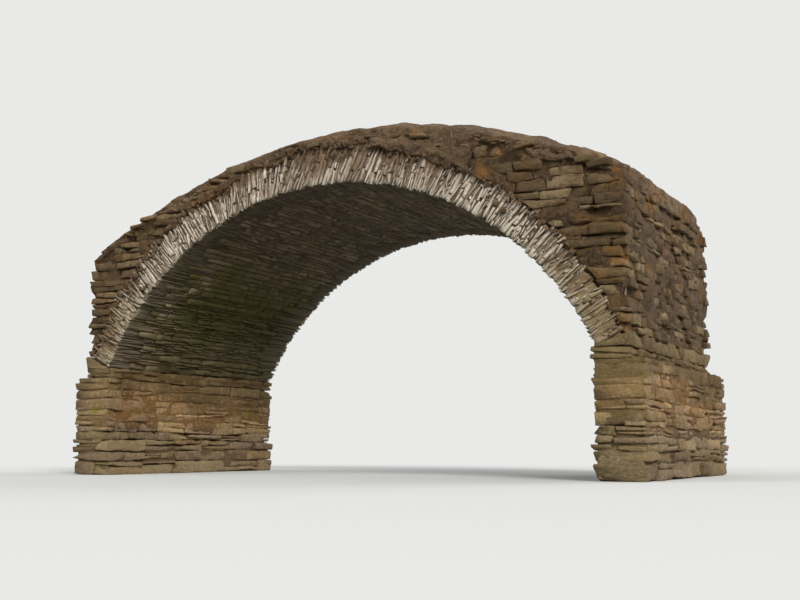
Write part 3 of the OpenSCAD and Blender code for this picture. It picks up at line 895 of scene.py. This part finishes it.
def haunchRubble(side, word):
    rng = random.Random(haunch["seed"] + (100 if side > 0 else 0))
    bed = newBed()
    haunchCore(bed, side)
    face, gap = bridge["haunchFace"], haunch["joint"] / 2
    levels = [shelfHeight]
    while levels[-1] < fillHeight(side * haunch["last"]):
        levels.append(levels[-1] + rng.uniform(*haunch["height"]))

    def bedLine(k, x, y):
        return levels[k] + (haunch["wave"] * waver(x * 2.1, y * 1.3, k * 3.3 + side * 11) if k else 0.0)

    def bedHeights(k, spots):
        # the lower and the upper bed of a stone at both its ends, under the deck, and its heights there
        roofs = [fillHeight(side * x) + haunch["roof"] for x, y in spots]
        lows = [bedLine(k, x, y) + gap * rng.uniform(0.2, 1) for x, y in spots]
        highs = [min(bedLine(k + 1, x, y) - gap * rng.uniform(0.2, 1), roof)
                 for (x, y), roof in zip(spots, roofs)]
        return lows, highs, [high - low for low, high in zip(lows, highs)]

    for k in range(len(levels) - 1):
        out = bridge["haunchOut"] + rng.uniform(-1, 1) * haunch["endRagged"]
        for way in (-1, 1):
            inner = ringBack((levels[k] + levels[k + 1]) / 2)
            if out - inner < haunch["shortest"]:
                continue
            for a, b in stretches(inner, out, haunch["length"], rng):
                if rng.random() < haunch["missing"] or rng.random() > ease((a + b) / 2, *haunch["whole"]):
                    continue
                lows, highs, heights = bedHeights(k, ((a, way), (b, way)))
                if min(heights) < haunch["thin"][0] or max(heights) < haunch["thin"][1]:
                    continue
                ys = way * (face + rng.uniform(*haunch["proud"])), way * (face - haunch["deep"])
                corners = []
                for zs in (lows, highs):
                    start = ringBack(zs[0]) - 0.012 if a == inner else a + gap * rng.uniform(0.3, 1)
                    end = b - (0 if b == out else gap * rng.uniform(0.3, 1))
                    corners.append([[(side * start, y, zs[0]), (side * end, y, zs[1])] for y in ys])
                layStone(bed, corners, haunch, rng, [(1, 0)] + ([(2, 1)] if b == out else []))
        if levels[k] > fillHeight(side * out) - haunch["headroom"]:
            continue
        reach = face - haunch["endInset"]
        for a, b in stretches(-reach, reach, haunch["length"], rng):
            if rng.random() < haunch["missing"]:
                continue
            outer = bridge["haunchOut"] + rng.uniform(-1, 0.8) * haunch["endRagged"]
            ys = (a + gap, b - gap)
            lows, highs, heights = bedHeights(k, [(outer, y) for y in ys])
            if min(heights) >= haunch["endThin"]:
                corners = [[[(side * x, y, z) for y, z in zip(ys, zs)]
                            for x in (outer, outer - haunch["endDeep"])] for zs in (lows, highs)]
                layStone(bed, corners, haunch, rng, [(1, 0)])
    finishPiece(bed, word + "_haunch_rubble", haunchStone,
                ["front_" + word + "_haunch_wall", "back_" + word + "_haunch_wall", word + "_haunch_fill"])


for side, word in bothSides:
    haunchRubble(side, word)
print("haunches laid")

deck = {
    "alongCuts": 304, "acrossCuts": 170, "sideShare": 0.22, "endShare": 0.05,
    "shoulder": 0.26, "shoulderDrop": 0.065, "camber": 0.02, "path": 0.034, "lower": 0.014,
    "cornerCut": 0.10, "endWave": 0.055,
    "swell": 0.032, "swellSize": 0.55, "lump": 0.022, "lumpSize": 0.17, "clod": 0.014, "clodSize": 0.06,
    "edgeWave": 0.030, "faceRough": 0.028, "faceClod": 0.016, "faceCrumb": 0.030, "cover": 0.06,
    "slump": 0.15, "overlap": 0.03, "lip": 0.006, "overRubble": 0.045,
    "roughSize": 0.13, "faceClodSize": 0.05, "crumbSizes": (0.07, 0.033),
}


def deckUnder(x, way):
    ragged = 0.8 + 1.6 * waver(x * 2.3, way * 5, 3) + 0.9 * waver(x * 9, way, 6) + 0.6 * waver(x * 27, way, 7)
    slumped = 0.15 + 1.6 * waver(x * 2.1, way * 5, 8)
    over = ringTop(x) - deck["overlap"] - deck["cover"] * max(0.0, ragged)
    rubble = fillHeight(x) - deck["overlap"] - deck["slump"] * max(0.0, slumped)
    share = ease(abs(x), bridge["haunchIn"] - 0.12, bridge["haunchIn"] + 0.06)
    return over + (rubble - over) * share


def deckTop(x, y):
    inland = max(0.0, 1 - (bridge["earthEdge"] - min(abs(y), bridge["earthEdge"])) / deck["shoulder"])
    z = deckHeight(x) - deck["lower"] - deck["shoulderDrop"] * inland ** 2
    z += deck["camber"] * (1 - (y / bridge["earthEdge"]) ** 2)
    # the trodden middle is hollow and smoother
    wild = ease(abs(y + 0.12 * waver(x * 0.8, 2, 5)), 0.15, 0.6)
    z += deck["swell"] * waver(x / deck["swellSize"], y / deck["swellSize"], 1) - deck["path"] * (1 - wild)
    clods = deck["lump"] * waver(x / deck["lumpSize"], y / deck["lumpSize"], 2)
    clods -= deck["clod"] * (abs(waver(x / deck["clodSize"], y / deck["clodSize"], 3)) - 0.35)
    return z + (0.3 + 0.7 * wild) * clods


def deckSpot(u, v):
    # a point of a flat sheet, -1 to 1 both ways, laid on the deck and turned down at its rims
    turnU, turnV = 1 - deck["endShare"], 1 - deck["sideShare"]
    downU = max(0.0, (abs(u) - turnU) / deck["endShare"])
    downV = max(0.0, (abs(v) - turnV) / deck["sideShare"])
    along, across = (max(-1, min(1, at / turn)) for at, turn in ((u, turnU), (v, turnV)))
    way = 1 if v > 0 else -1
    flatX = along * bridge["haunchOut"]
    ragged = waver(flatX * 1.7, way * 4, 0) + 0.5 * waver(flatX * 6, way * 4, 9)
    edge = bridge["earthEdge"] + deck["edgeWave"] * ragged
    y = across * edge
    row = 7 if u > 0 else 3
    end = bridge["haunchOut"] - deck["cornerCut"] * abs(y / edge) ** 5
    end += deck["endWave"] * (waver(y * 2, row, 0) + 0.7 * waver(y * 7, row, 4))
    x = along * end
    down = max(downU, downV)
    spot = Vector((x, y, deckTop(x, y)))
    if down == 0:
        return spot
    spot.z = spot.z + (deckUnder(x, way) - spot.z) * down
    if downV > 0:
        overRing = 1 - ease(abs(x), bridge["haunchIn"] - 0.1, bridge["haunchIn"] + 0.1)
        hang = ease(waver(x * 1.9, way * 7, 1) + 0.25, -0.1, 0.35) * ease(downV, 0.35, 0.75)
        target, share = bridge["haunchFace"] + deck["overRubble"], 0.7
        if overRing > 0.5:
            target, share = bridge["halfWidth"] + deck["lip"] * (1 + waver(x * 9, way, 4)), overRing
        spot.y += way * (target - abs(spot.y)) * hang * share
        spot.y += way * (0.012 * math.sin(math.pi * downV) - 0.03 * downV * (1 - hang))
    rough = noise.noise_vector(spot / deck["roughSize"]) * deck["faceRough"]
    rough += noise.noise_vector(spot / deck["faceClodSize"]) * deck["faceClod"]
    rough.z *= 0.5
    large, small = (abs(noise.noise(spot / size)) for size in deck["crumbSizes"])
    crumbled = large * 1.3 + small - 0.5
    rough.y += way * crumbled * deck["faceCrumb"]
    return spot + rough * ease(down, 0, 0.3)


def spreadDeck():
    bm = bmesh.new()
    bmesh.ops.create_grid(bm, x_segments=deck["alongCuts"], y_segments=deck["acrossCuts"], size=1)
    rims = [e for e in bm.edges if e.is_boundary and abs(e.verts[0].co.y - e.verts[1].co.y) < 1e-6]
    bmesh.ops.bridge_loops(bm, edges=rims)      # the underside, in strips across the bridge
    bmesh.ops.holes_fill(bm, edges=[e for e in bm.edges if e.is_boundary], sides=0)
    for vert in bm.verts:
        vert.co = deckSpot(vert.co.x, vert.co.y)
    finishPiece(bm, "deck_earth", deckEarth,
                ["left_deck_earth", "crown_deck_earth", "right_deck_earth"])


spreadDeck()
print("deck spread")

pebbles = {
    "cells": ((0.03, 2, 3), (0.03, 2, 3), (0.03, 2, 4)), "shake": 0.004, "worn": 0.009, "rough": 0.007,
    "roughSize": 0.06, "ledge": 0.004, "ledgeRate": (60, 20), "chip": 0.006, "broken": 0.8,
    "soilShadeDepth": 0.05, "onTop": 900, "inSides": 300, "size": (0.018, 0.15),
    "wide": (0.5, 0.9), "tall": (0.25, 0.5),        # as shares of their length
    "tip": (-0.2, 0.2), "sunk": (0.1, 0.45), "seed": 83,
}
crumbs = dict(pebbles, cells=((0.05, 2, 2), (0.05, 2, 2), (0.05, 2, 2)), shake=0.008, worn=0.012,
              rough=0.014, roughSize=0.04, count=1100, size=(0.014, 0.07), reach=0.24, inset=0.03, seed=97)

cubeCorners = [(s, t, w) for s in (-0.5, 0.5) for t in (-0.5, 0.5) for w in (-0.5, 0.5)]


def looseStones():
    rng = random.Random(pebbles["seed"])
    bed = newBed()
    least, most = pebbles["size"]
    for number in range(pebbles["onTop"] + pebbles["inSides"]):
        lying = number < pebbles["onTop"]       # on the deck, and the others stick in its sides
        length = least + (most - least) * rng.random() ** 2.2
        width, height = length * rng.uniform(*pebbles["wide"]), length * rng.uniform(*pebbles["tall"])
        x = rng.uniform(-1, 1) * (bridge["haunchOut"] - 0.16)
        shown = [(0, 1), (1, 0), (1, 1), (2, 0), (2, 1)]
        way = rng.choice((-1, 1))
        if lying:
            y = way * (bridge["earthEdge"] - 0.09) * rng.random() ** 0.6
            turn = rng.uniform(0, math.pi)
        else:
            length *= 1.5
            y = way * (bridge["earthEdge"] + 0.012)
            under = deckUnder(x, way)
            level = under + 0.04 + max(0.0, deckTop(x, y) - 0.03 - under - 0.06) * rng.random()
            shown, turn = [(0, 0)] + shown, rng.uniform(-0.25, 0.25)
        tip, sunk = rng.uniform(*pebbles["tip"]), rng.uniform(*pebbles["sunk"])
        corners = []
        for s, t, w in cubeCorners:
            along, aside = w * length, t * width
            spotX = x + along * math.cos(turn) - aside * math.sin(turn)
            spotY = y + along * math.sin(turn) + aside * math.cos(turn)
            ground = deckTop(spotX, spotY) - sunk * height if lying else level + tip * along
            corners.append((spotX, spotY, ground + s * height))
        layStone(bed, corners, pebbles, rng, shown)
    finishPiece(bed, "loose_stones", haunchStone)


def earthCrumbs():
    # clods that cling to the outer half of the ring's faces and hang from the edge of the earth
    rng = random.Random(crumbs["seed"])
    bed = newBed()
    least, most = crumbs["size"]
    for _ in range(crumbs["count"]):
        way = rng.choice((-1, 1))
        angle = rng.uniform(-0.8, 0.8) * halfAngle
        size = least + (most - least) * rng.random() ** 1.6
        heap = ease(waver(angle * 9, way * 4, 1), -0.3, 0.5)        # they lie in heaps
        depth = ringDepth(angle) - crumbs["reach"] * heap * rng.random() ** 1.3
        y = way * (bridge["halfWidth"] - crumbs["inset"] * rng.random())
        spot = onArch(soffitRadius + depth, angle, y)
        shape = [rng.uniform(0.5, 1.0) * size for _ in range(3)]
        corners = [tuple(spot + Vector((shape[0] * w, shape[1] * t * 0.6, shape[2] * s)))
                   for s, t, w in cubeCorners]
        layStone(bed, corners, crumbs, rng)
    finishPiece(bed, "earth_crumbs", deckEarth)


looseStones()
earthCrumbs()
print("loose stones and crumbs strewn")

# Floor, backdrop and light
stage = {
    "floorSize": 160, "floorShown": (197, 197, 194), "floorLit": (132, 129, 122),
    "backdrop": colour(233, 234, 232), "near": 5.5, "far": 10.5,        # the floor fades out between them
    "sky": (0.94, 0.97, 1.0, 1), "skyStrength": 0.75,
    "key": {"from": (8.5, -8.0, 5.9), "strength": 3.1, "angle": 24, "tint": (1.0, 0.97, 0.93)},
    "fill": {"from": (-7.0, -7.0, 6.0), "strength": 0.7, "angle": 50, "tint": (0.94, 0.97, 1.0)},
    "rear": {"from": (5.5, 9.0, 4.8), "strength": 1.2, "angle": 40, "tint": (1.0, 1.0, 1.0)},
}


def seenByEye(board):
    # camera, glossy and transmission rays
    rays = [board.node("LightPath", {}, {}, number) for number in (0, 3, 4)]
    return (rays[0] + rays[1] + rays[2]).step(0.0, 1.0)


def makeStage():
    bm = bmesh.new()
    bmesh.ops.create_grid(bm, x_segments=1, y_segments=1, size=stage["floorSize"] / 2)
    board = Board(bpy.data.materials.new("floorPaint"), stage)
    seen = seenByEye(board)
    distance = board.node("VectorMath", {"operation": "LENGTH"}, {0: board.place}, 1)
    paint = board.node("BsdfDiffuse", {}, {"Color": board.blend("floorLit", "floorShown", seen)})
    glow = board.node("Emission", {}, {"Color": stage["backdrop"], "Strength": 1.0})
    faded = seen * distance.step(stage["near"], stage["far"])
    mixed = board.node("MixShader", {}, {0: faded, 1: paint, 2: glow})
    board.node("OutputMaterial", {}, {"Surface": mixed})
    addMesh(bm, "floor", board.owner)
    world = bpy.data.worlds.new("softSky")
    bpy.context.scene.world = world
    board = Board(world)
    sky = board.node("Background", {}, {"Color": stage["sky"], "Strength": stage["skyStrength"]})
    shown = board.node("Background", {}, {"Color": stage["backdrop"], "Strength": 1.0})
    mixed = board.node("MixShader", {}, {0: seenByEye(board), 1: sky, 2: shown})
    board.node("OutputWorld", {}, {"Surface": mixed})
    for name in ("key", "fill", "rear"):
        lamp = stage[name]
        data = bpy.data.lights.new(name + "Lamp", "SUN")
        data.energy, data.angle, data.color = lamp["strength"], math.radians(lamp["angle"]), lamp["tint"]
        lampObject = bpy.data.objects.new(name + "Lamp", data)
        lampObject.location = lamp["from"]
        lampObject.rotation_euler = (-Vector(lamp["from"])).to_track_quat("-Z", "Y").to_euler()
        bpy.context.collection.objects.link(lampObject)


makeStage()

# The photograph's viewpoint, with a longer lens turned to the bridge
viewpoint = {"spot": (5.526, -10.395, 0.255), "yaw": 27.87, "up": 7.56, "lens": 50.8}
cameraData = bpy.data.cameras.new("camera")
cameraData.lens = viewpoint["lens"]
cameraData.clip_end = 400
camera = bpy.data.objects.new("camera", cameraData)
camera.location = viewpoint["spot"]
camera.rotation_euler = (math.radians(90 + viewpoint["up"]), 0, math.radians(viewpoint["yaw"]))
bpy.context.collection.objects.link(camera)
bpy.context.scene.camera = camera
bpy.context.scene.view_settings.view_transform = "Standard"
bpy.data.meshes.remove(scratch)
